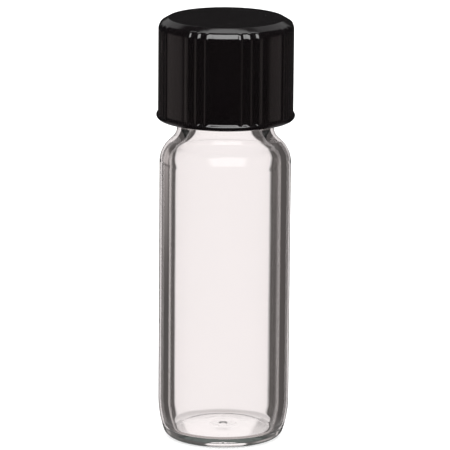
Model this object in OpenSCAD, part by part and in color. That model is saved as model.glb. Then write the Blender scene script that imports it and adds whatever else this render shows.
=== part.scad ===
// Glass sample vial with a ribbed screw cap.
// Millimetres, +Z up the axis. The origin is on the axis, in the plane that the vial stands on,
// and the front of the vial faces -Y.

/* [Glass body] */
// Outside diameter of the glass
vial_d = 15; // [13:0.1:20]
// Height of the glass from its base to its lip
vial_h = 45; // [35:0.5:70]
// Thickness of the glass wall
wall = 1.1; // [0.8:0.05:1.4]
// Thickness of the glass floor
floor_t = 1.1; // [0.8:0.05:1.8]
// Height of the shallow hollow under the base
push_up = 0.5; // [0.1:0.05:0.8]
// Width of the flat ring that the vial stands on
foot_w = 0.5; // [0.3:0.05:1.2]
// Height over which the heel draws in
heel_h = 4.5; // [3.5:0.1:6]
// Radius of the long curve down the heel
heel_curve_r = 11.7; // [9:0.1:16]
// Radius of the heel where it turns under
heel_r = 1.1; // [0.7:0.05:1.5]
// Radius inside, between the wall and the floor
inner_heel_r = 0.6; // [0.5:0.05:1.3]

/* [Glass shoulder and neck] */
// Radius of the shoulder where it leaves the body
shoulder_r = 3.2; // [2:0.05:5]
// Slope of the shoulder, measured from the axis
shoulder_angle = 51; // [42:1:60]
// Radius of the hollow between shoulder and neck
neck_fillet = 2.1; // [0.5:0.05:2.4]
// Radius of the same hollow on the inside
inner_neck_r = 4.2; // [1:0.1:5]
// Outside diameter of the neck, at the root of its thread
neck_d = 11; // [10.5:0.1:12]
// Thickness of the glass in the neck
neck_wall = 1.5; // [1.2:0.05:2]
// Rounding of the lip
lip_r = 0.4; // [0.2:0.05:0.5]

/* [Screw thread] */
// Lead of the single-start right-hand thread
thread_lead = 2.12; // [1.9:0.01:2.6]
// Number of turns of the thread
thread_turns = 2; // [1:0.25:3]
// Distance from the lip down to the end of the thread
thread_start = 1.6; // [1.2:0.1:2.5]
// Height of the glass thread above the neck
thread_h = 0.85; // [0.5:0.05:0.9]
// Width of the glass thread at its foot
thread_w = 1.25; // [0.8:0.05:1.3]
// Width of the cap's thread at its foot
cap_thread_w = 0.9; // [0.6:0.05:1]
// Clearance between the crest of each thread and the other part
thread_play = 0.25; // [0.15:0.05:0.4]

/* [Cap] */
// Wall of the cap outside its thread, at the smooth panels
cap_wall = 1.1; // [0.7:0.05:2]
// Thickness of the cap's top
cap_top_t = 2.2; // [1.3:0.1:3]
// Length of the skirt below its thread
skirt_below = 0.9; // [0.6:0.05:2]
// Gap between the cap's rim and the foot of the neck
rim_gap = 0.9; // [0.5:0.1:3]
// Width of the sloping crown round the flat top
crown_w = 0.88; // [0.4:0.02:1.2]
// How far the crown falls over that width
crown_drop = 0.52; // [0.2:0.02:0.7]
// Width of the steeper edge between crown and panels
edge_w = 0.22; // [0.1:0.02:0.5]
// Height from the flat top to the lower end of that edge
edge_drop = 1.1; // [0.9:0.05:1.8]
// Rounding between the crown and the edge
crown_r = 0.7; // [0.2:0.05:1]
// Height of the bead round the cap's rim
bead_h = 0.5; // [0.45:0.05:1.5]
// How far the bead stands out from the panels
bead_out = 0.2; // [0.15:0.01:0.6]
// Height of the sloped ledge above the bead
ledge_h = 0.5; // [0.2:0.05:0.8]
// Rounding of the rim and of the mouth
rim_r = 0.4; // [0.1:0.05:0.4]

/* [Cap ribs] */
// Number of rib groups round the cap
rib_groups = 8; // [4:1:10]
// Number of ribs in a group
ribs_in_group = 3; // [1:1:4]
// Angle from one rib to the next in a group
rib_step = 8.4; // [6:0.1:9]
// Width of a rib
rib_w = 0.55; // [0.3:0.05:0.7]
// How far a rib stands out from the panels
rib_h = 0.14; // [0.08:0.01:0.15]
// Turn of the first group from the front
rib_turn = 20.2; // [0:0.1:45]

/* [Liner] */
// Thickness of the sealing disc
liner_t = 1.6; // [0.8:0.1:2.5]
// Clearance round the sealing disc inside the cap
liner_play = 0.2; // [0.1:0.05:0.4]

/* [Hidden] */
$fn = 96;
arc_steps = 12;
thread_steps = 30;      // facets in a turn of thread
thread_fade = 40;       // degrees over which a thread's end dies away
thread_sink = 0.15;     // how deep a thread's foot is sunk into its wall
crest_steps = 6;        // facets across a thread's rounded crest
least_arc_r = 0.3;      // smallest radius inside the shoulder

vial_r = vial_d / 2;
neck_r = neck_d / 2;
bore_r = neck_r - neck_wall;

// The skirt covers the whole thread, and the neck is longer than the skirt by the rim's gap
skirt_h = thread_start + (thread_turns + 0.5) * thread_lead + skirt_below;
neck_h = skirt_h + rim_gap;
neck_z = vial_h - neck_h;

// The shoulder is an arc, a short cone and a hollow. Both radii shrink if the neck leaves them no room.
shoulder_drop = 1 - cos(shoulder_angle);
outer_room = (vial_r - neck_r) / shoulder_drop;
outer_hollow_r = min(neck_fillet, outer_room - wall - least_arc_r);
outer_arc_r = min(shoulder_r, outer_room - outer_hollow_r);
outer_cone = (vial_r - neck_r - (outer_arc_r + outer_hollow_r) * shoulder_drop) / sin(shoulder_angle);
shoulder_z = neck_z - (outer_arc_r + outer_hollow_r) * sin(shoulder_angle)
    - outer_cone * cos(shoulder_angle);
inner_arc_r = outer_arc_r - wall;
inner_hollow_r = min(inner_neck_r, (vial_r - wall - bore_r) / shoulder_drop - inner_arc_r);
inner_cone = (vial_r - wall - bore_r - (inner_arc_r + inner_hollow_r) * shoulder_drop) / sin(shoulder_angle);
inner_neck_z = shoulder_z + (inner_arc_r + inner_hollow_r) * sin(shoulder_angle)
    + inner_cone * cos(shoulder_angle);

// Cap and liner are seated on the lip
liner_z = vial_h;
plate_z = liner_z + liner_t;
cap_top_z = plate_z + cap_top_t;
rim_z = vial_h - skirt_h;
cap_bore_r = neck_r + thread_h + thread_play;
cap_r = cap_bore_r + cap_wall;
bead_r = cap_r + bead_out;
ledge_z = rim_z + bead_h + ledge_h;
crown_out_r = cap_r - edge_w;
top_r = crown_out_r - crown_w;
liner_r = cap_bore_r - liner_play;
glass_thread_z = vial_h - thread_start - thread_turns * thread_lead;

function arc(cx, cz, r, a0, a1) =
    [for (i = [0:arc_steps]) let (a = a0 + (a1 - a0) * i / arc_steps) [cx + r * cos(a), cz + r * sin(a)]];

// Corner b of an outline that runs from a to c, rounded with radius r
function rounded(a, b, c, r) =
    let (u = (a - b) / norm(a - b), v = (c - b) / norm(c - b), half = acos(u * v) / 2,
        start = b + u * r / tan(half), centre = b + (u + v) / norm(u + v) * r / sin(half),
        a0 = atan2(start[1] - centre[1], start[0] - centre[0]), side = cross(u, v) < 0 ? 1 : -1)
    arc(centre[0], centre[1], r, a0, a0 + side * (180 - 2 * half));

// Heel: a small arc of radius small_r on the floor at floor_z, then a long arc of radius long_r up the side
function heel_x(long_r, small_r, floor_z) =
    vial_r - heel_curve_r + sqrt(pow(long_r - small_r, 2) - pow(heel_h - floor_z - small_r, 2));
function heel_turn(long_r, small_r, floor_z) = asin((heel_h - floor_z - small_r) / (long_r - small_r));
function heel(long_r, small_r, floor_z) =
    let (turn = heel_turn(long_r, small_r, floor_z))
    concat(arc(heel_x(long_r, small_r, floor_z), floor_z + small_r, small_r, -90, -turn),
        arc(vial_r - heel_curve_r, heel_h, long_r, -turn, 0));

// Dish: a shallow dome from the axis at crown_z down to radius edge_r
function dish(edge_r, crown_z) =
    let (r = (edge_r * edge_r + push_up * push_up) / (2 * push_up))
    arc(0, crown_z - r, r, 90, 90 - asin(edge_r / r));

function shoulder(arc_r, hollow_r, throat_r, throat_z) =
    concat(arc(vial_r - outer_arc_r, shoulder_z, arc_r, 0, shoulder_angle),
        arc(throat_r + hollow_r, throat_z, hollow_r, 180 + shoulder_angle, 180));

function reversed(points) = [for (i = [len(points) - 1:-1:0]) points[i]];

outer_foot_r = heel_x(heel_curve_r, heel_r, 0);
inner_floor_r = heel_x(heel_curve_r - wall, inner_heel_r, floor_t);

vial_outside = concat(
    dish(outer_foot_r - foot_w, push_up),
    heel(heel_curve_r, heel_r, 0),
    shoulder(outer_arc_r, outer_hollow_r, neck_r, neck_z),
    arc(neck_r - lip_r, vial_h - lip_r, lip_r, 0, 90));

vial_inside = concat(
    dish(inner_floor_r, push_up + floor_t),
    heel(heel_curve_r - wall, inner_heel_r, floor_t),
    shoulder(inner_arc_r, inner_hollow_r, bore_r, inner_neck_z),
    arc(bore_r + lip_r, vial_h - lip_r, lip_r, 180, 90));

// One ridge of thread, wound on a wall of radius wall_r. Its height h is negative on an inside wall.
module thread_ridge(wall_r, h, w, z0) {
    count = thread_turns * thread_steps;
    side = sign(h);
    ring = crest_steps + 3;
    // rises from just under the wall at each end of the thread
    function fade(i) = min(1, min(i, count - i) * 360 / thread_steps / thread_fade);
    function crest(i, k) =
        let (t = 180 * k / crest_steps, up = (abs(h) + thread_sink) * fade(i) - thread_sink)
        [wall_r + side * (up * sin(t) - thread_sink / 2 * (1 - sin(t))), -w / 2 * cos(t)];
    function section(i) = concat([for (k = [0:crest_steps]) crest(i, k)],
        [[wall_r - 2 * side * thread_sink, w / 2], [wall_r - 2 * side * thread_sink, -w / 2]]);
    points = [for (i = [0:count]) let (a = 360 * i / thread_steps, z = z0 + thread_lead * i / thread_steps)
        for (p = section(i)) [p[0] * cos(a), p[0] * sin(a), z + p[1]]];
    sides = [for (i = [0:count - 1], k = [0:ring - 1]) let (n = (k + 1) % ring, a = i * ring, b = a + ring)
        each [[a + k, a + n, b + n], [a + k, b + n, b + k]]];
    start_cap = [for (k = [1:ring - 2]) [0, k + 1, k]];
    end_cap = [for (k = [1:ring - 2]) let (b = count * ring) [b, b + k, b + k + 1]];
    faces = concat(sides, start_cap, end_cap);
    polyhedron(points = points, faces = side < 0 ? [for (f = faces) [f[0], f[2], f[1]]] : faces);
}

module glass_vial() {
    color([0.86, 0.92, 0.91, 0.4]) union() {
        rotate_extrude() polygon(concat(vial_outside, reversed(vial_inside)));
        thread_ridge(neck_r, thread_h, thread_w, glass_thread_z);
    }
}

// Top edge of the cap from the panel up to the crown, moved out by e along the crown's slope
function cap_edge(e) =
    let (fall = e * crown_drop / crown_w, panel = [cap_r + e, cap_top_z - edge_drop - fall],
        crown = [crown_out_r + e, cap_top_z - crown_drop - fall])
    concat([panel], rounded(panel, crown, [top_r + e, cap_top_z - fall], crown_r));

// Section of the cap without its ribs
module cap_section() {
    polygon(concat(
        [[0, plate_z], [cap_bore_r, plate_z], [cap_bore_r, rim_z + rim_r], [cap_bore_r + rim_r, rim_z]],
        arc(bead_r - rim_r, rim_z + rim_r, rim_r, -90, 0),
        [[bead_r, rim_z + bead_h], [cap_r, ledge_z]],
        cap_edge(0),
        [[top_r, cap_top_z], [0, cap_top_z]]));
}

// Section of a rib: it runs up the panel from the bead to the crown
module rib_section() {
    root = cap_wall / 3;
    edge = cap_edge(rib_h);
    inner = crown_out_r - root;
    polygon(concat(
        [[inner, rim_z + rim_r], [cap_r + rib_h, rim_z + rim_r]],
        edge,
        [[inner, edge[len(edge) - 1][1] - rib_h]]));
}

module screw_cap() {
    rib_angle = 2 * asin(rib_w / 2 / (cap_r + rib_h));
    front = -90;
    color([0.07, 0.065, 0.06]) union() {
        rotate_extrude() cap_section();
        for (group = [0:rib_groups - 1], rib = [0:ribs_in_group - 1]) {
            place = rib_turn + group * 360 / rib_groups + (rib - (ribs_in_group - 1) / 2) * rib_step;
            rotate([0, 0, front + place - rib_angle / 2]) rotate_extrude(angle = rib_angle) rib_section();
        }
        thread_ridge(cap_bore_r, -thread_h, cap_thread_w, glass_thread_z - thread_lead / 2);
    }
}

module cap_liner() {
    color([0.9, 0.88, 0.82]) translate([0, 0, liner_z]) cylinder(r = liner_r, h = liner_t);
}

glass_vial();
screw_cap();
cap_liner();
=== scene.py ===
# %% [markdown]
# # A glass sample vial with a ribbed screw cap
# The vial is drawn from glass tube. Its base and its neck are shaped in a flame, so everything on it is
# round and a little soft. The cap is moulded in black plastic, and a soft disc inside it seals the lip.
# The measured model is loaded first, as a fixed frame. It says where each piece sits and how the cap
# turns, and the pieces made below are laid over it.

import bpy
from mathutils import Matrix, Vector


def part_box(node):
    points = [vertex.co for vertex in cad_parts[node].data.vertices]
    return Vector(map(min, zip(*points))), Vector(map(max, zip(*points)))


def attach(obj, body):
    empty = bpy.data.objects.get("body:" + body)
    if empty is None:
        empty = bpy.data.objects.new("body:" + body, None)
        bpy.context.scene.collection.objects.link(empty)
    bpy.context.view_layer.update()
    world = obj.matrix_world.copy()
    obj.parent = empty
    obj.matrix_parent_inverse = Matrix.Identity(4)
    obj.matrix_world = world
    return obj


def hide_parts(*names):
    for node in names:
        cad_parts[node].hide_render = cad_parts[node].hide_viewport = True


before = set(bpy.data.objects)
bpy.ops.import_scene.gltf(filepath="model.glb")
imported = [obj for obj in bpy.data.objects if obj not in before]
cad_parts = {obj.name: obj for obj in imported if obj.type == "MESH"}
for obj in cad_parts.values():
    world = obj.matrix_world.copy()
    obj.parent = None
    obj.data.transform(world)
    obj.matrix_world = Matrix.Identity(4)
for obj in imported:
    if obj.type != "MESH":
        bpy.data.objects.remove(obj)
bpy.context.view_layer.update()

# %% [markdown]
# Every length below is in metres, which is what Blender works in, so small sizes are written as a number
# of millimetres times MM. The overall sizes come from the frame, so that the pieces fit it. Smaller sizes,
# such as roundings and walls, are named once, just before the piece that needs them.

# %% Blender's tools, and the main sizes
from math import asin, cos, degrees, hypot, pi, radians, sin, sqrt, tan

import bmesh
import bpy
from mathutils import Matrix, Vector

MM = 0.001
TINY = 0.001 * MM
glass_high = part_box("glass_vial")[1]
cap_low, cap_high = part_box("screw_cap")
disc_low, disc_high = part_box("cap_liner")

vial_r = glass_high.x
lip_z = glass_high.z
rim_z = cap_low.z
cap_top_z = cap_high.z
bead_r = cap_high.x
disc_r = disc_high.x
plate_z = disc_high.z
print(f"glass {2 * vial_r / MM:.2f} mm across and {lip_z / MM:.2f} mm tall")
print(f"cap {2 * bead_r / MM:.2f} mm across, from {rim_z / MM:.2f} to {cap_top_z / MM:.2f} mm")

# %% [markdown]
# ## Drawing an outline and turning it
# Everything here is round, so the natural way to make it is a lathe's: draw half of the section as a thin
# line, then carry that line round the axis. A table of points would do, but nobody could read it. Blender's
# Spin does both jobs instead: it sweeps one vertex about a centre to draw an arc, and it sweeps the
# finished line about the upright axis to make the surface. So a section is drawn like a stroke of a pen.

# %% A pen for outlines
def pen_down(bm, r, z):
    """Start an outline at radius r and height z."""
    return bm.verts.new((r, 0, z))


def straight(bm, pen, r, z, steps=1):
    """Draw straight to radius r and height z, in equal steps."""
    start, end = pen.co.copy(), Vector((r, 0, z))
    for step in range(steps):
        pen = bmesh.ops.extrude_vert_indiv(bm, verts=[pen])["verts"][0]
        pen.co = start.lerp(end, (step + 1) / steps)
    return pen


def curve(bm, pen, r, z, turn, steps):
    """Draw an arc of turn degrees about (r, z). A positive turn goes from outwards to upwards."""
    swept = bmesh.ops.spin(
        bm, geom=[pen], cent=(r, 0, z), axis=(0, -1, 0), angle=radians(turn), steps=steps)
    return [item for item in swept["geom_last"] if isinstance(item, bmesh.types.BMVert)][0]


def corner(bm, pen, r, z, onward, rounding, steps):
    """Draw towards the corner (r, z), and turn there towards the point onward with a rounding."""
    sharp = Vector((r, 0, z))
    back = (pen.co - sharp).normalized()
    ahead = (Vector((onward[0], 0, onward[1])) - sharp).normalized()
    half = back.angle(ahead) / 2
    start = sharp + back * rounding / tan(half)
    centre = sharp + (back + ahead).normalized() * rounding / sin(half)
    side = 1 if back.z * ahead.x - back.x * ahead.z > 0 else -1
    pen = straight(bm, pen, start.x, start.z)
    return curve(bm, pen, centre.x, centre.z, side * (180 - degrees(2 * half)), steps)


print("the pen draws straight strokes, arcs and rounded corners")

# %% [markdown]
# A finished outline is carried round the axis in stretches, so that a piece can have finer steps where it
# needs them. The last step lands on the first, and the axis ends as many points in one place, so doubles
# are merged before the faces are turned outwards. Each piece then says which body it rides on and which
# node of the model it stands for.

# %% Turn an outline into a surface, and finish the piece
def turn_round(bm, stretches):
    """Carry the whole outline round the axis, in stretches of (degrees, steps), and close it."""
    outline = bm.verts[:] + bm.edges[:]
    for turn, steps in stretches:
        swept = bmesh.ops.spin(
            bm, geom=outline, cent=(0, 0, 0), axis=(0, 0, 1), angle=radians(turn), steps=steps)
        outline = swept["geom_last"]
    bmesh.ops.remove_doubles(bm, verts=bm.verts, dist=TINY)
    bmesh.ops.recalc_face_normals(bm, faces=bm.faces)


def finish_piece(bm, name, body, node):
    """Make a smooth piece from the mesh. It rides on a body and stands for a node."""
    for face in bm.faces:
        face.smooth = True
    open_edges = sum(not edge.is_manifold for edge in bm.edges)
    mesh = bpy.data.meshes.new(name)
    bm.to_mesh(mesh)
    bm.free()
    piece = bpy.data.objects.new(name, mesh)
    bpy.context.scene.collection.objects.link(piece)
    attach(piece, body)
    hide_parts(node)
    triangles = sum(len(face.vertices) - 2 for face in mesh.polygons)
    size = [round(side / MM, 2) for side in piece.dimensions]
    print(f"{name}: {triangles} triangles, {open_edges} open edges, {size} mm")
    return piece


print("a lathe that spins in stretches")

# %% [markdown]
# ## The glass
# A vial like this has one wall of even thickness that folds in at the shoulder and the heel. Through it
# the eye sees each curve twice, outside and inside, so both are drawn with true arcs. The heel is two
# arcs that meet smoothly: a tight one on the base, and a long one up the side. The shoulder is an arc, a
# short cone and a hollow. The base is pushed up a little so that the vial stands on a ring, and where the
# flame closed the tube, a low nub is left in the middle of the floor.

# %% Sizes of the glass
WALL = 1.1 * MM
FLOOR = 1.1 * MM
PUSH_UP = 0.38 * MM
FOOT_W = 0.5 * MM
HEEL_H = 4.5 * MM
HEEL_CURVE_R = 11.7 * MM
HEEL_R = 1.1 * MM
INNER_HEEL_R = 0.6 * MM
SHOULDER_R = 3.2 * MM
SHOULDER_ANGLE = 51
HOLLOW_R = 2.1 * MM
INNER_HOLLOW_R = 4.2 * MM
NECK_R = 5.5 * MM
NECK_WALL = 1.5 * MM
LIP_R = 0.4 * MM
RIM_GAP = 0.9 * MM
NUB_R = 1.9 * MM
NUB_H = 0.09 * MM

bore_r = NECK_R - NECK_WALL
neck_z = rim_z - RIM_GAP
shoulder_centre_r = vial_r - SHOULDER_R
heel_centre_r = vial_r - HEEL_CURVE_R
slope = radians(SHOULDER_ANGLE)
print(f"neck {2 * NECK_R / MM:.1f} mm across, from {neck_z / MM:.2f} mm up, bore {2 * bore_r / MM:.1f} mm")

# %% [markdown]
# Two arcs and the cone between them have to fill the step from one radius to another, so their heights
# are worked out instead of guessed. Inside, the same step is taken with a smaller arc and a larger
# hollow, which is what leaves the wall thicker at the foot of the neck.

# %% Where the shoulder's arcs meet
def shoulder_height(outer_r, inner_r, arc_r, hollow_r):
    """Height and cone length of a shoulder that draws in from outer_r to inner_r."""
    cone = (outer_r - inner_r - (arc_r + hollow_r) * (1 - cos(slope))) / sin(slope)
    return (arc_r + hollow_r) * sin(slope) + cone * cos(slope), cone


drop, cone = shoulder_height(vial_r, NECK_R, SHOULDER_R, HOLLOW_R)
shoulder_z = neck_z - drop
inner_arc_r = SHOULDER_R - WALL
inner_drop, inner_cone = shoulder_height(vial_r - WALL, bore_r, inner_arc_r, INNER_HOLLOW_R)
inner_neck_z = shoulder_z + inner_drop
print(f"shoulder from {shoulder_z / MM:.2f} mm, cones {cone / MM:.2f} and {inner_cone / MM:.2f} mm long")

# %% [markdown]
# The heel and the base are found in the same way, once for the outside and once for the inside: first the
# small arc that touches both the floor and the long arc, and then the dome that fills the ring.

# %% Where the heel's arcs meet, and the dome of the base
def heel_centre(long_r, small_r, floor_z):
    """Radius of the small arc's centre, and the angle at which the two arcs meet."""
    fall = HEEL_H - floor_z - small_r
    across = sqrt((long_r - small_r) ** 2 - fall ** 2)
    return heel_centre_r + across, degrees(asin(fall / (long_r - small_r)))


def dome_centre(edge_r):
    """Radius of the shallow dome that rises by the push-up over edge_r, and its half angle."""
    dome_r = (edge_r ** 2 + PUSH_UP ** 2) / (2 * PUSH_UP)
    return dome_r, degrees(asin(edge_r / dome_r))


foot_r, foot_meet = heel_centre(HEEL_CURVE_R, HEEL_R, 0)
floor_r, floor_meet = heel_centre(HEEL_CURVE_R - WALL, INNER_HEEL_R, FLOOR)
base_dome, base_turn = dome_centre(foot_r - FOOT_W)
floor_dome, floor_turn = dome_centre(floor_r)
print(f"stands on a ring {2 * foot_r / MM:.1f} mm across")

# %% [markdown]
# Now the pen goes round the section without lifting: from the middle of the base out over the heel, up to
# the lip, and down again inside to the middle of the floor. Clear glass shows every flat of a coarse arc,
# so the arcs get many steps. The neck gets over a hundred, because the thread is raised from them later.

# %% How finely each part of the section is drawn
DOME_STEPS = 14
HEEL_STEPS = 12
HEEL_CURVE_STEPS = 14
WALL_STEPS = 24
SHOULDER_STEPS = 18
HOLLOW_STEPS = 12
INNER_HOLLOW_STEPS = 16
NECK_STEPS = 104
BORE_STEPS = 10
LIP_STEPS = 8
NUB_STEPS = 10
print(f"a step up the neck is {(lip_z - LIP_R - neck_z) / NECK_STEPS / MM:.3f} mm")

# %% Draw the outside of the glass
glass = bmesh.new()
pen = pen_down(glass, 0, PUSH_UP)
pen = curve(glass, pen, 0, PUSH_UP - base_dome, -base_turn, DOME_STEPS)
pen = straight(glass, pen, foot_r, 0, 2)
pen = curve(glass, pen, foot_r, HEEL_R, 90 - foot_meet, HEEL_STEPS)
pen = curve(glass, pen, heel_centre_r, HEEL_H, foot_meet, HEEL_CURVE_STEPS)
pen = straight(glass, pen, vial_r, shoulder_z, WALL_STEPS)
pen = curve(glass, pen, shoulder_centre_r, shoulder_z, SHOULDER_ANGLE, SHOULDER_STEPS)
pen = straight(glass, pen, pen.co.x - cone * sin(slope), pen.co.z + cone * cos(slope))
pen = curve(glass, pen, NECK_R + HOLLOW_R, neck_z, -SHOULDER_ANGLE, HOLLOW_STEPS)
pen = straight(glass, pen, NECK_R, lip_z - LIP_R, NECK_STEPS)
pen = curve(glass, pen, NECK_R - LIP_R, lip_z - LIP_R, 90, LIP_STEPS)
print("points so far:", len(glass.verts))

# %% Draw the inside of the glass, from the lip down to the heel
pen = straight(glass, pen, bore_r + LIP_R, lip_z)
pen = curve(glass, pen, bore_r + LIP_R, lip_z - LIP_R, 90, LIP_STEPS)
pen = straight(glass, pen, bore_r, inner_neck_z, BORE_STEPS)
pen = curve(glass, pen, bore_r + INNER_HOLLOW_R, inner_neck_z, SHOULDER_ANGLE, INNER_HOLLOW_STEPS)
pen = straight(glass, pen, pen.co.x + inner_cone * sin(slope), pen.co.z - inner_cone * cos(slope))
pen = curve(glass, pen, shoulder_centre_r, shoulder_z, -SHOULDER_ANGLE, SHOULDER_STEPS)
pen = straight(glass, pen, vial_r - WALL, HEEL_H, WALL_STEPS)
pen = curve(glass, pen, heel_centre_r, HEEL_H, -floor_meet, HEEL_CURVE_STEPS)
pen = curve(glass, pen, floor_r, FLOOR + INNER_HEEL_R, floor_meet - 90, HEEL_STEPS)
print("points so far:", len(glass.verts))

# %% Draw the floor of the glass
floor_dome_z = PUSH_UP + FLOOR - floor_dome
nub_turn = degrees(asin(NUB_R / floor_dome))
pen = curve(glass, pen, 0, floor_dome_z, floor_turn - nub_turn, DOME_STEPS)
pen = curve(glass, pen, 0, floor_dome_z, nub_turn, NUB_STEPS)
print("points in the outline of the glass:", len(glass.verts))

# %% Raise the nub, and turn the glass
GLASS_STEPS = 240

nub = [v for v in glass.verts if PUSH_UP < v.co.z < lip_z / 2 and v.co.x < NUB_R]
for vertex in nub:
    vertex.co.z += NUB_H * (1 - (vertex.co.x / NUB_R) ** 2) ** 2
turn_round(glass, [(360, GLASS_STEPS)])
print(f"{len(nub)} points of the outline are in the nub, and the glass has {len(glass.faces)} faces")

# %% [markdown]
# ## The screw thread
# A thread is a ridge that climbs by one lead in each turn. It could be a separate coil sunk into the
# neck, but then the glass would hold hidden faces inside it, and clear glass shows every one of them.
# Instead the fine mesh of the neck is pushed outwards where the ridge passes, which keeps one clean skin.
# The ridge has a rounded section, and it rises out of the neck over a few degrees at each end.

# %% Sizes of the thread
LEAD = 2.12 * MM
THREAD_TURNS = 2
THREAD_START = 1.6 * MM
THREAD_H = 0.85 * MM
THREAD_W = 1.25 * MM
CAP_THREAD_W = 0.9 * MM
THREAD_FADE = 40
THREAD_FULLNESS = 0.8

thread_z = lip_z - THREAD_START - THREAD_TURNS * LEAD


def thread_height(x, y, z, foot_z, width):
    """Height of the ridge at a point on the wall, from 0 to 1. The ridge starts at foot_z.

    The angles are degrees round the axis. Along is how far the point is from the start of the ridge.
    """
    angle = degrees(Vector((x, y)).angle_signed(Vector((1, 0)))) % 360
    turns = round((z - foot_z) / LEAD - angle / 360)
    along = 360 * turns + angle
    length = 360 * THREAD_TURNS
    across = 2 * (z - foot_z - LEAD * along / 360) / width
    if abs(across) >= 1 or not 0 < along < length:
        return 0
    end = min(1, along / THREAD_FADE, (length - along) / THREAD_FADE)
    return (1 - across ** 2) ** THREAD_FULLNESS * sin(end * pi / 2)


print(f"thread from {thread_z / MM:.2f} mm up, crest {2 * (NECK_R + THREAD_H) / MM:.1f} mm across")


# %% [markdown]
# The wall is round, so a point on it is moved straight away from the axis. Only points that lie on the
# plain neck are moved, and those that the ridge misses are moved by nothing.

# %% Raise the thread on the glass
def push_out(vertex, distance):
    """Move a vertex away from the axis."""
    r = hypot(vertex.co.x, vertex.co.y)
    vertex.co.x *= 1 + distance / r
    vertex.co.y *= 1 + distance / r


neck = [v for v in glass.verts if v.co.z > neck_z and abs(hypot(v.co.x, v.co.y) - NECK_R) < TINY]
for vertex in neck:
    push_out(vertex, THREAD_H * thread_height(*vertex.co, thread_z, THREAD_W))
print("neck points that the thread can move:", len(neck))

# %% Finish the glass
vial = finish_piece(glass, "vial_glass", "vial", "glass_vial")
vial.visible_shadow = False
print("the glass throws no shadow:", not vial.visible_shadow)

# %% [markdown]
# ## The cap
# The cap is one moulding: a flat top, a sloping crown round it, a skirt with groups of grip ribs, and a
# ledge down to a low bead round the rim. The ribs could be separate strips joined on, but their soft
# feet would then show a seam. So they are raised from the same skin, in the stretches where the
# outline is carried round in finer steps. Every edge is rounded, because plastic never fills a sharp
# corner of its mould, and because only a rounded edge catches a line of light.

# %% Sizes of the cap
CAP_PLAY = 1.1 * MM
CAP_WALL = 1.1 * MM
CROWN_W = 0.88 * MM
CROWN_DROP = 0.52 * MM
CROWN_EDGE_R = 0.7 * MM
SIDE_W = 0.22 * MM
SIDE_DROP = 1.1 * MM
BEAD_H = 0.5 * MM
LEDGE_H = 0.25 * MM
EDGE_R = 0.24 * MM
PANEL_EDGE_R = 0.72 * MM
RIM_R = 0.4 * MM
MOUTH_R = 0.25 * MM

cap_bore_r = NECK_R + CAP_PLAY
cap_r = cap_bore_r + CAP_WALL
crown_r = cap_r - SIDE_W
top_r = crown_r - CROWN_W
ledge_z = rim_z + BEAD_H + LEDGE_H
print(f"cap panels {2 * cap_r / MM:.2f} mm across, flat top {2 * top_r / MM:.2f} mm, bore "
      f"{2 * cap_bore_r / MM:.2f} mm")

# %% [markdown]
# The pen starts in the middle of the flat top, goes down the panel and round the bead, and then up inside
# to the plate that the disc lies against. The bore gets many steps, because its thread is raised from
# them later.

# %% How finely each part of the cap is drawn
TOP_STEPS = 6
EDGE_STEPS = 4
CROWN_EDGE_STEPS = 8
PANEL_EDGE_STEPS = 6
PANEL_STEPS = 16
RIM_STEPS = 8
MOUTH_STEPS = 5
CAP_BORE_STEPS = 90
PLATE_STEPS = 6
print(f"a step up the bore is {(plate_z - rim_z) / CAP_BORE_STEPS / MM:.3f} mm")

# %% Draw the outside of the cap
crown_z = cap_top_z - CROWN_DROP
side_z = cap_top_z - SIDE_DROP
bead_z = rim_z + BEAD_H

cap = bmesh.new()
pen = pen_down(cap, 0, cap_top_z)
pen = straight(cap, pen, top_r - EDGE_R, cap_top_z, TOP_STEPS)
pen = corner(cap, pen, top_r, cap_top_z, (crown_r, crown_z), EDGE_R, EDGE_STEPS)
crown_start = pen.co.x
pen = corner(cap, pen, crown_r, crown_z, (cap_r, side_z), CROWN_EDGE_R, CROWN_EDGE_STEPS)
pen = corner(cap, pen, cap_r, side_z, (cap_r, ledge_z), PANEL_EDGE_R, PANEL_EDGE_STEPS)
panel_top = pen.co.z
pen = straight(cap, pen, cap_r, ledge_z + EDGE_R, PANEL_STEPS)
pen = corner(cap, pen, cap_r, ledge_z, (bead_r, bead_z), EDGE_R, EDGE_STEPS)
pen = corner(cap, pen, bead_r, bead_z, (bead_r, rim_z), EDGE_R, EDGE_STEPS)
pen = corner(cap, pen, bead_r, rim_z, (cap_bore_r, rim_z), RIM_R, RIM_STEPS)
print("points so far:", len(cap.verts))

# %% Draw the inside of the cap
pen = corner(cap, pen, cap_bore_r, rim_z, (cap_bore_r, plate_z), MOUTH_R, MOUTH_STEPS)
pen = straight(cap, pen, cap_bore_r, plate_z, CAP_BORE_STEPS)
pen = straight(cap, pen, 0, plate_z, PLATE_STEPS)
print("points in the outline of the cap:", len(cap.verts))

# %% [markdown]
# The ribs stand in eight groups of three. The outline is therefore turned in unequal stretches: many
# small steps over each rib, a few between ribs, and some over the smooth panel. The start is turned
# first, so that a rib begins exactly where a stretch does.

# %% Sizes of the ribs
RIB_GROUPS = 8
RIBS_IN_GROUP = 3
RIB_STEP = 8.4
RIB_W = 0.56 * MM
RIB_H = 0.14 * MM
RIB_TURN = 20.2
FRONT = -90
STEPS_ON_RIB = 8
STEPS_BETWEEN = 4
STEPS_ON_PANEL = 10

rib_angle = 2 * degrees(asin(RIB_W / 2 / (cap_r + RIB_H)))
group_angle = 360 / RIB_GROUPS
panel_angle = group_angle - (RIBS_IN_GROUP - 1) * RIB_STEP - rib_angle
print(f"{RIB_GROUPS * RIBS_IN_GROUP} ribs of {rib_angle:.1f} degrees, panels of {panel_angle:.1f} degrees")

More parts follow.
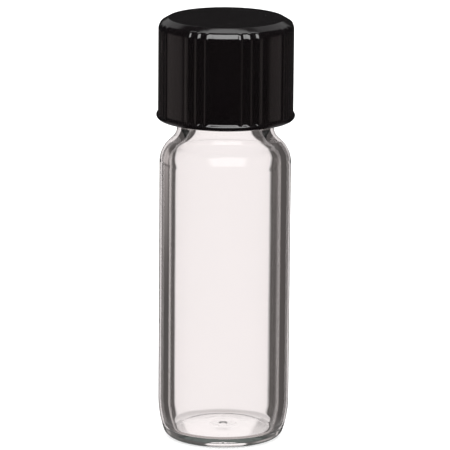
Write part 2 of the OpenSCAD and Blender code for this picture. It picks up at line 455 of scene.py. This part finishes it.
# %% Carry the outline round
one_group = [(rib_angle, STEPS_ON_RIB), (RIB_STEP - rib_angle, STEPS_BETWEEN)] * (RIBS_IN_GROUP - 1)
one_group += [(rib_angle, STEPS_ON_RIB), (panel_angle, STEPS_ON_PANEL)]
first_rib = FRONT + RIB_TURN - (RIBS_IN_GROUP - 1) / 2 * RIB_STEP - rib_angle / 2
bmesh.ops.rotate(
    cap, verts=cap.verts, cent=(0, 0, 0), matrix=Matrix.Rotation(radians(first_rib), 3, "Z"))
turn_round(cap, one_group * RIB_GROUPS)
print(f"{len(one_group) * RIB_GROUPS} stretches, and the cap has {len(cap.faces)} faces")

# %% [markdown]
# A rib has a low round back. It runs up the panel and on over the sloping crown, where it fades out
# before the flat top, and its outer line stays straight where the edge above the panel draws in.

# %% Raise the ribs
def rib_height(x, y):
    """Height of the ribs at this angle, from 0 between them to 1 on a crest."""
    angle = degrees(Vector((x, y)).angle_signed(Vector((1, 0))))
    place = (angle - FRONT - RIB_TURN + group_angle / 2) % group_angle - group_angle / 2
    outermost = (RIBS_IN_GROUP - 1) // 2
    nearest = max(-outermost, min(outermost, round(place / RIB_STEP)))
    across = 2 * abs(place - nearest * RIB_STEP) / rib_angle
    return max(0, 1 - across ** 2)


crown_tilt = CROWN_DROP / CROWN_W
raised = 0
for vertex in cap.verts:
    r = hypot(vertex.co.x, vertex.co.y)
    if r < crown_start + TINY or vertex.co.z < bead_z + TINY:
        continue
    height = RIB_H * rib_height(vertex.co.x, vertex.co.y)
    if height == 0:
        continue
    share = min(1, (r - crown_start) / (crown_r - crown_start))
    near_top = min(1, max(0, (vertex.co.z - panel_top + 2 * SIDE_DROP) / SIDE_DROP))
    room = max(0, min(height, cap_r + height - r))
    vertex.co.z -= height * crown_tilt * share * near_top
    push_out(vertex, room * share)
    raised += 1
print("points raised for the ribs:", raised)

# %% [markdown]
# The cap's thread is raised inwards from its bore with the same ridge. It starts half a lead lower than
# the one on the glass, so that each ridge lies in the middle of the other's groove.

# %% Raise the thread in the cap
bore = [v for v in cap.verts if v.co.z < plate_z and abs(hypot(v.co.x, v.co.y) - cap_bore_r) < TINY]
for vertex in bore:
    push_out(vertex, -THREAD_H * thread_height(*vertex.co, thread_z - LEAD / 2, CAP_THREAD_W))
print("bore points that the thread can move:", len(bore))

# %% Finish the cap
screw_cap = finish_piece(cap, "moulded_cap", "cap", "screw_cap")

# %% [markdown]
# ## The sealing disc
# A disc of soft rubber lies under the top of the cap. A plain cylinder would do for a new one, but this one
# has been screwed down, so its outline takes a shallow step where the lip has left a ring in it.

# %% The disc
DENT = 0.05 * MM
DISC_EDGE_R = 0.15 * MM
DENT_STEPS = 3
FACE_STEPS = 4
DISC_EDGE_STEPS = 5
DISC_STEPS = 120

dent_z = disc_low.z + DENT
disc = bmesh.new()
pen = pen_down(disc, 0, disc_low.z)
pen = straight(disc, pen, bore_r, disc_low.z, FACE_STEPS)
pen = straight(disc, pen, bore_r + LIP_R, dent_z, DENT_STEPS)
pen = straight(disc, pen, NECK_R - LIP_R, dent_z, DENT_STEPS)
pen = straight(disc, pen, NECK_R, disc_low.z, DENT_STEPS)
pen = corner(disc, pen, disc_r, disc_low.z, (disc_r, plate_z), DISC_EDGE_R, DISC_EDGE_STEPS)
pen = corner(disc, pen, disc_r, plate_z, (0, plate_z), DISC_EDGE_R, DISC_EDGE_STEPS)
pen = straight(disc, pen, 0, plate_z, FACE_STEPS)
turn_round(disc, [(360, DISC_STEPS)])
liner = finish_piece(disc, "sealing_disc", "liner", "cap_liner")

# %% [markdown]
# ## Finishes
# A finish is a graph of nodes that ends in a shader. The same small effects turn up on all of these
# surfaces: a skin that isn't quite even, and edges that have been rubbed. They could be drawn again in
# each material, but then they would drift apart. So each effect is a node group with named sockets, built
# once, and every material sets its own values on it. The patterns read Object coordinates, which are
# metres on the piece itself, so that they stay in place when the cap turns.

# %% A group's sockets, and the wires between nodes
def new_group(name, inputs, outputs):
    """A node group with named number inputs (name: value) and named outputs."""
    group = bpy.data.node_groups.new(name, "ShaderNodeTree")
    for label, value in inputs.items():
        kind = "NodeSocketVector" if isinstance(value, tuple) else "NodeSocketFloat"
        socket = group.interface.new_socket(name=label, in_out="INPUT", socket_type=kind)
        socket.default_value = value
    for label in outputs:
        group.interface.new_socket(name=label, in_out="OUTPUT", socket_type="NodeSocketFloat")
    return group, group.nodes.new("NodeGroupInput"), group.nodes.new("NodeGroupOutput")


def feed(tree, socket, value):
    """Give a socket a plain value, or wire another node's output to it."""
    if isinstance(value, bpy.types.NodeSocket):
        tree.links.new(value, socket)
    else:
        socket.default_value = value


def node(tree, kind, settings=(), **inputs):
    """A new node. An input is a value or another node's output, and _ stands for a space."""
    made = tree.nodes.new("ShaderNode" + kind)
    for label, value in dict(settings).items():
        setattr(made, label, value)
    for label, value in inputs.items():
        feed(tree, made.inputs[label.replace("_", " ")], value)
    return made


def calculate(tree, operation, *values):
    """One step of arithmetic on numbers and other nodes' outputs."""
    made = node(tree, "Math", {"operation": operation})
    for place, value in enumerate(values):
        feed(tree, made.inputs[place], value)
    return made.outputs[0]


print("groups have named sockets, and a node is one line")

# %% [markdown]
# ### Uneven skin
# Glass that was softened in a flame and plastic that was pressed in a mould both have faint waves a
# millimetre or so across, and larger patches that are a little duller or brighter. Noise textures give
# both. Stretch makes the waves longer one way, as the lines along drawn glass tube are.

# %% The uneven skin group
def uneven_skin():
    """Height follows the fine waves, and Patches the larger ones."""
    group, given, result = new_group(
        "uneven_skin",
        {"Waves per metre": 1000.0, "Patches per metre": 150.0, "Stretch": (1.0, 1.0, 1.0)},
        ["Height", "Patches"])
    place = node(group, "TexCoord").outputs["Object"]
    along = node(group, "Mapping", Vector=place, Scale=given.outputs["Stretch"]).outputs["Vector"]
    waves = node(group, "TexNoise", Vector=along, Scale=given.outputs["Waves per metre"], Detail=3.0)
    patches = node(group, "TexNoise", Vector=place, Scale=given.outputs["Patches per metre"], Detail=2.0)
    group.links.new(waves.outputs["Fac"], result.inputs["Height"])
    group.links.new(patches.outputs["Fac"], result.inputs["Patches"])
    return group


SKIN = uneven_skin()
print("made", SKIN.name, "with", len(SKIN.nodes), "nodes")

# %% [markdown]
# ### Rubbed edges
# Fingers and neighbours in a box rub the ribs and the rim first. Cycles knows how sharply the surface
# bends at each point, as Pointiness, where one half is flat. What is above that is an outside edge. Some
# noise breaks the line up, because wear is never even.

# %% The rubbed edges group
def rubbed_edges():
    """Mask is 0 on flat skin and rises where an edge is as sharp as To."""
    group, given, result = new_group(
        "rubbed_edges", {"From": 0.52, "To": 0.6, "Breaks per metre": 900.0}, ["Mask"])
    bend = node(group, "NewGeometry").outputs["Pointiness"]
    place = node(group, "TexCoord").outputs["Object"]
    edge = node(group, "MapRange", Value=bend, From_Min=given.outputs["From"], From_Max=given.outputs["To"])
    noise = node(group, "TexNoise", Vector=place, Scale=given.outputs["Breaks per metre"], Detail=4.0)
    broken = calculate(group, "MULTIPLY", edge.outputs["Result"], noise.outputs["Fac"])
    group.links.new(broken, result.inputs["Mask"])
    return group


EDGES = rubbed_edges()
print("made", EDGES.name, "with", len(EDGES.nodes), "nodes")

# %% [markdown]
# A material starts with nothing but its output. The groups are placed in it with their own values, and
# their masks then blend colours and stretch the roughness. The shader itself stays in the material, where
# the numbers that are the same all over can be read from it.

# %% Tools for a material
A_SOCKET, B_SOCKET, RESULT_SOCKET = 6, 7, 2


def new_material(name):
    """A material with nothing but its output, to hold the nodes of one finish."""
    material = bpy.data.materials.new(name)
    material.use_nodes = True
    tree = material.node_tree
    tree.nodes.clear()
    return material, tree, node(tree, "OutputMaterial")


def use_group(tree, group, values):
    """Place a node group in a material and set its own values on it."""
    placed = node(tree, "Group", {"node_tree": group})
    for label, value in values.items():
        placed.inputs[label].default_value = value
    return placed.outputs


def blend_colours(tree, mask, first, second):
    """Mix two colours, or a colour and another node's output, by a mask."""
    mixed = node(tree, "Mix", {"data_type": "RGBA"}, Factor=mask)
    for place, colour in ((A_SOCKET, first), (B_SOCKET, second)):
        if not isinstance(colour, bpy.types.NodeSocket):
            colour = (*colour, 1)
        feed(tree, mixed.inputs[place], colour)
    return mixed.outputs[RESULT_SOCKET]


def ranged(tree, value, low, high):
    """Stretch a mask between two numbers."""
    return node(tree, "MapRange", Value=value, To_Min=low, To_Max=high).outputs["Result"]


print("materials start empty")

# %% [markdown]
# ### Clear glass
# The glass is almost colourless, so what is seen is what it bends: the bright backdrop in the middle and
# the dark room at its edges. It could be a Glass shader, but the Principled one also goes into other
# programs. A thin tint inside the wall gives its edges their cool grey. Its skin has faint long waves,
# as drawn tube has, and they are only a few thousandths of a millimetre high.
#
# Thick glass also carries light round inside it, from wall to wall, and some of it comes out at the heel.
# Cycles stops following a ray after some turns, so the heel would be black. A very faint glow in the
# volume stands for that light. It adds up along a ray, so the thin wall hardly shows it. The glow comes
# from a Principled Volume of no density, because an Emission node would be taken for a lamp elsewhere.

# %% The glass finish
def clear_glass():
    """Clear glass, with a weak tint and a fainter glow inside it."""
    material, tree, out = new_material("clear_glass")
    skin = use_group(tree, SKIN, {
        "Waves per metre": 420.0, "Patches per metre": 130.0, "Stretch": (1.0, 1.0, 0.12)})
    wavy = node(tree, "Bump", Strength=1.0, Distance=0.004 * MM, Height=skin["Height"])
    colour = blend_colours(tree, skin["Patches"], (0.992, 0.995, 0.992), (0.975, 0.985, 0.98))
    shader = node(
        tree, "BsdfPrincipled", Base_Color=colour, Roughness=0.0, IOR=1.5, Transmission_Weight=1.0,
        Normal=wavy.outputs["Normal"])
    tree.links.new(shader.outputs["BSDF"], out.inputs["Surface"])
    tint = node(tree, "VolumeAbsorption", Color=(0.9, 0.93, 0.92, 1), Density=20.0)
    glow = node(
        tree, "VolumePrincipled", Density=0.0, Emission_Color=(0.93, 1, 0.95, 1), Emission_Strength=3.0)
    inside = node(tree, "AddShader")
    tree.links.new(tint.outputs["Volume"], inside.inputs[0])
    tree.links.new(glow.outputs["Volume"], inside.inputs[1])
    tree.links.new(inside.outputs["Shader"], out.inputs["Volume"])
    return material


vial.data.materials.append(clear_glass())
print("the glass wears", vial.data.materials[0].name)

# %% [markdown]
# ### Black plastic
# The cap is moulded in a hard black plastic with a slightly brown cast. The mould was polished, so it
# shines, but the skin has a fine grain and its shine is duller in patches. The crests of the ribs and the
# rim are rubbed a little lighter and smoother. A plain gloss could be either sharp or soft. The coat of
# the Principled shader lays a sharp gloss over the softer one, as a polished moulding has.

# %% The plastic finish
RUBBED_SMOOTHER = 0.05


def black_plastic():
    """Polished black plastic, rubbed lighter on its edges."""
    material, tree, out = new_material("black_plastic")
    skin = use_group(tree, SKIN, {
        "Waves per metre": 2600.0, "Patches per metre": 260.0, "Stretch": (1.0, 1.0, 0.6)})
    rubbed = use_group(tree, EDGES, {"From": 0.515, "To": 0.6, "Breaks per metre": 1400.0})["Mask"]
    grain = node(tree, "Bump", Strength=1.0, Distance=0.0012 * MM, Height=skin["Height"])
    base = blend_colours(tree, skin["Patches"], (0.0016, 0.0009, 0.0012), (0.0032, 0.0019, 0.0023))
    colour = blend_colours(tree, rubbed, base, (0.012, 0.010, 0.010))
    dull = ranged(tree, skin["Patches"], 0.12, 0.2)
    smoother = calculate(tree, "MULTIPLY_ADD", rubbed, -RUBBED_SMOOTHER, dull)
    shader = node(
        tree, "BsdfPrincipled", Base_Color=colour, Roughness=smoother, IOR=1.6,
        Coat_Weight=1.0, Coat_Roughness=0.06, Coat_IOR=1.6, Normal=grain.outputs["Normal"])
    tree.links.new(shader.outputs["BSDF"], out.inputs["Surface"])
    return material


screw_cap.data.materials.append(black_plastic())
print("the cap wears", screw_cap.data.materials[0].name)

# %% [markdown]
# ### Off-white rubber
# The sealing disc is a soft, matte rubber sheet that was stamped out. It is cream, a bit darker in cloudy
# patches, and its rim is scuffed paler where it was pushed into the cap.

# %% The rubber finish
def liner_rubber():
    """Matte cream rubber, cloudy, and scuffed paler on its rim."""
    material, tree, out = new_material("liner_rubber")
    skin = use_group(tree, SKIN, {
        "Waves per metre": 3500.0, "Patches per metre": 400.0, "Stretch": (1.0, 1.0, 1.0)})
    rubbed = use_group(tree, EDGES, {"From": 0.51, "To": 0.58, "Breaks per metre": 1200.0})["Mask"]
    pitted = node(tree, "Bump", Strength=1.0, Distance=0.01 * MM, Height=skin["Height"])
    base = blend_colours(tree, skin["Patches"], (0.74, 0.70, 0.61), (0.62, 0.58, 0.50))
    colour = blend_colours(tree, rubbed, base, (0.82, 0.80, 0.74))
    shader = node(
        tree, "BsdfPrincipled", Base_Color=colour, Roughness=ranged(tree, skin["Patches"], 0.5, 0.72),
        Normal=pitted.outputs["Normal"])
    tree.links.new(shader.outputs["BSDF"], out.inputs["Surface"])
    return material


liner.data.materials.append(liner_rubber())
print("the disc wears", liner.data.materials[0].name)

# %% [markdown]
# ## The camera
# A small thing looks true to life when it is seen from well back through a long lens, because then its
# sides stay almost parallel. The camera stands half a metre away and looks down by 13 degrees, so that the
# top of the cap and the floor of the glass both show as thin ellipses. It is rolled by half a degree, as
# a camera on a stand often is.

# %% Place the camera
LENS = 359.85
VIEW_DISTANCE = 514.25 * MM
VIEW_RISE = radians(13.193)
VIEW_ROLL = radians(0.467)
NEAREST = 10 * MM
TARGET = Vector((0.03 * MM, 0, 24.69 * MM))

scene = bpy.context.scene
camera = bpy.data.objects.new("camera", bpy.data.cameras.new("camera"))
scene.collection.objects.link(camera)
scene.camera = camera
camera.data.lens = LENS
camera.data.clip_start = NEAREST
camera.matrix_world = (
    Matrix.Translation(TARGET + VIEW_DISTANCE * Vector((0, -cos(VIEW_RISE), sin(VIEW_RISE))))
    @ Matrix.Rotation(pi / 2 - VIEW_RISE, 4, "X")
    @ Matrix.Rotation(VIEW_ROLL, 4, "Z"))
bpy.context.view_layer.update()
print(f"the camera stands {VIEW_DISTANCE / MM:.0f} mm away, {degrees(VIEW_RISE):.1f} degrees up")

# %% [markdown]
# ## The floor
# The floor is a plain pale sheet, large enough to fill the view. It is for the camera alone: the glass
# and the cap see the lamps and the room instead, so that neither depends on how far the floor reaches.

# %% Lay the floor
FLOOR_HALF = 8

floor_mesh = bmesh.new()
bmesh.ops.create_grid(floor_mesh, x_segments=1, y_segments=1, size=FLOOR_HALF)
floor = bpy.data.objects.new("floor", bpy.data.meshes.new("floor"))
floor_mesh.to_mesh(floor.data)
floor_mesh.free()
scene.collection.objects.link(floor)
floor.visible_transmission = False
floor.visible_glossy = False
print(f"the floor is {2 * FLOOR_HALF} m across")


# %% Paint the floor
def pale_floor():
    """Matte white paint."""
    material, tree, out = new_material("pale_floor")
    shader = node(tree, "BsdfDiffuse", Color=(0.95, 0.95, 0.95, 1))
    tree.links.new(shader.outputs["BSDF"], out.inputs["Surface"])
    return material


floor.data.materials.append(pale_floor())
print("the floor wears", floor.data.materials[0].name)

# %% [markdown]
# ## Light for glass and for black plastic
# Clear glass shows only what it bends towards the eye. So it is lit from behind by a bright backdrop that
# is hardly wider than the vial, with dark room on both sides: the wall bends that dark into two bands that
# draw its edges. Narrow strips of light at the sides put a thin line in each band. Black plastic shows
# only what it mirrors, so it gets soft lamps of its own. Each lamp is a rectangle that faces the vial.
# They hang from the camera, so that any other view is lit in the same way.
#
# A bare rectangle has hard edges, and the glass would draw each of them as a line. So the lamps fade out
# towards their sides, by the Parametric output of the Geometry node, which runs from 0 to 1 over a lamp.

# %% The soft edges of a lamp
TAPER_SPAN = (0.45, 0.75)


def rise(tree, place, start, end):
    """Rise smoothly from 0 at the start to 1 at the end."""
    return node(
        tree, "MapRange", {"interpolation_type": "SMOOTHSTEP"}, Value=place, From_Min=start,
        From_Max=end).outputs["Result"]


def soft_edges(tree, sides, bottom, top, taper):
    """Fade a lamp over these shares of its width and height. The taper narrows its upper half."""
    place = node(tree, "SeparateXYZ", Vector=node(tree, "NewGeometry").outputs["Parametric"]).outputs
    up = place["Y"]
    narrower = calculate(tree, "MULTIPLY_ADD", rise(tree, up, *TAPER_SPAN), taper, 1)
    away = calculate(tree, "ABSOLUTE", calculate(tree, "SUBTRACT", place["X"], 0.5))
    away = calculate(tree, "MULTIPLY", away, narrower)
    faded = calculate(
        tree, "MULTIPLY", rise(tree, away, 0.5, 0.5 - sides), rise(tree, up, 0, bottom))
    faded = calculate(tree, "MULTIPLY", faded, rise(tree, up, 1, 1 - top))
    tree.links.new(faded, tree.nodes["Emission"].inputs["Strength"])


print(f"a taper starts at {TAPER_SPAN[0]} of a lamp's height")

# %% [markdown]
# A lamp is placed by the direction it shines from, and its size is given in degrees, as the vial sees it.
# Then its brightness is that of its surface, and it stays the same when the lamp is moved or made wider.

# %% A lamp with soft edges
WHITE = (1, 1, 1)
EVEN_FADES = (0.2, 0.2, 0.2)


def hang_from_camera(lamp, azimuth, elevation, distance):
    """Aim a lamp at the vial from this side, and let it follow the camera. The angles are in radians."""
    back = Vector((sin(azimuth) * cos(elevation), -cos(azimuth) * cos(elevation), sin(elevation)))
    facing = back.to_track_quat("Z", "Y").to_matrix().to_4x4()
    lamp.parent = camera
    lamp.matrix_parent_inverse = camera.matrix_world.inverted()
    lamp.matrix_world = Matrix.Translation(TARGET + back * distance) @ facing


def soft_light(name, azimuth, elevation, width, height, brightness, shown_to, distance=0.4, tint=WHITE,
               fades=EVEN_FADES, taper=0):
    """A rectangular lamp of so many degrees across. Azimuth 0 is at the camera, and 90 is to the right.

    The fades are for its sides, bottom and top. It is shown to the "glass", which bends it, or to what is
    "glossy" and mirrors it, and never to the camera or the floor.
    """
    data = bpy.data.lights.new(name, "AREA")
    data.shape = "RECTANGLE"
    data.size = 2 * distance * tan(radians(width / 2))
    data.size_y = 2 * distance * tan(radians(height / 2))
    data.energy = brightness * pi * data.size * data.size_y
    data.color = tint
    data.use_nodes = True
    soft_edges(data.node_tree, *fades, taper)
    lamp = bpy.data.objects.new(name, data)
    scene.collection.objects.link(lamp)
    hang_from_camera(lamp, radians(azimuth), radians(elevation), distance)
    lamp.visible_camera = False
    lamp.visible_diffuse = False
    lamp.visible_glossy = shown_to == "glossy"
    lamp.visible_transmission = shown_to == "glass"
    return lamp


print("lamps are rectangles with soft edges")

# %% [markdown]
# ### Lamps that the glass bends
# The backdrop is brightest at the height of the vial and fades slowly downwards, so that the floor of the
# glass is a little greyer than its middle. The strips are narrow, and the left one is brighter. A dim
# wall on the left lights the shoulder on that side.

# %% Hang the backdrop, the strips and the wall
GLASS_TINT = (1, 0.9, 0.88)
BEHIND = 0.3

soft_light("backdrop", 182.3, -2, 31, 94, 1.0, "glass", BEHIND, (1, 0.925, 0.93), (0.1, 0.37, 0.2), 0.15)
soft_light("strip_left", -124, -13, 8, 60, 0.6, "glass", BEHIND, GLASS_TINT, (0.3, 0.1, 0.1))
soft_light("strip_right", 121, -13, 18, 60, 0.26, "glass", BEHIND, GLASS_TINT, (0.2, 0.1, 0.1))
soft_light("wall_left", -144, -1, 34, 30, 0.42, "glass", BEHIND, GLASS_TINT, (0.3, 0.3, 0.3))

# %% [markdown]
# ### Lamps that the surfaces mirror
# A wide window in front and above draws the light patch on the shoulder, the line along the crown and the
# one on the ledge. The lamps at the sides and behind it lift the panels just enough to tell the ribs from
# them, and two dim ones low down stand for light that comes back from the table.

# %% Hang the window and the lamps round it
SIDE_TINT = (1, 0.88, 0.85)

soft_light("window", 5, 43, 68, 46, 2.8, "glossy")
soft_light("overhead", 180, 78, 60, 20, 1.0, "glossy")
soft_light("back_left", -156, 30, 40, 40, 0.2, "glossy")
soft_light("back_right", 150, 42, 44, 44, 0.22, "glossy")
soft_light("side_left", -97, -13, 44, 40, 0.13, "glossy", tint=SIDE_TINT)
soft_light("side_right", 97, -13, 44, 40, 0.1, "glossy", tint=SIDE_TINT)
soft_light("table_left", -125, -38, 60, 30, 0.3, "glossy")
soft_light("table_right", 125, -38, 60, 30, 0.3, "glossy")

# %% [markdown]
# ### The room
# The room itself is the world. It lights the floor evenly, so that no shadow shows, and it is nearly dark
# to whatever the glass bends or the plastic mirrors. Below the vial the glass finds a grey table instead,
# which fades in over some degrees. A Light Path node tells the three kinds of ray apart. A ray that has
# passed through glass also counts as glossy, so that test comes last.

# %% Light levels of the room
DIFFUSE_LIGHT = 1.7
MIRRORED_LIGHT = 0.012
BENT_LIGHT = 0.09
TABLE_LIGHT = 0.45
TABLE_TOP = 28
TABLE_FULL = 42
WARM = (1, 0.87, 0.85)
print(f"the table fades in from {TABLE_TOP} to {TABLE_FULL} degrees below the level of the eye")


# %% Make the room
def make_world():
    """A world that is bright for the floor, dark in mirrors, and dark with a grey table through glass."""
    world = bpy.data.worlds.new("studio")
    scene.world = world
    world.use_nodes = True
    tree = world.node_tree
    tree.nodes.clear()
    out = node(tree, "OutputWorld")
    path = node(tree, "LightPath").outputs
    up = node(tree, "SeparateXYZ", Vector=node(tree, "TexCoord").outputs["Generated"]).outputs["Z"]
    table = rise(tree, up, -sin(radians(TABLE_TOP)), -sin(radians(TABLE_FULL)))
    bent_colour = blend_colours(
        tree, table, [BENT_LIGHT * part for part in WARM], [TABLE_LIGHT * part for part in WARM])
    lit = node(tree, "Background", Color=(*WHITE, 1), Strength=DIFFUSE_LIGHT).outputs["Background"]
    mirrored = node(tree, "Background", Color=(*WHITE, 1), Strength=MIRRORED_LIGHT).outputs["Background"]
    bent = node(tree, "Background", Color=bent_colour).outputs["Background"]
    for ray, shade in (("Is Glossy Ray", mirrored), ("Is Transmission Ray", bent)):
        pick = node(tree, "MixShader", Fac=path[ray])
        tree.links.new(lit, pick.inputs[1])
        tree.links.new(shade, pick.inputs[2])
        lit = pick.outputs["Shader"]
    tree.links.new(lit, out.inputs["Surface"])


make_world()
scene.view_settings.view_transform = "Standard"
print("the room is bright for the floor and nearly dark for glass and plastic")
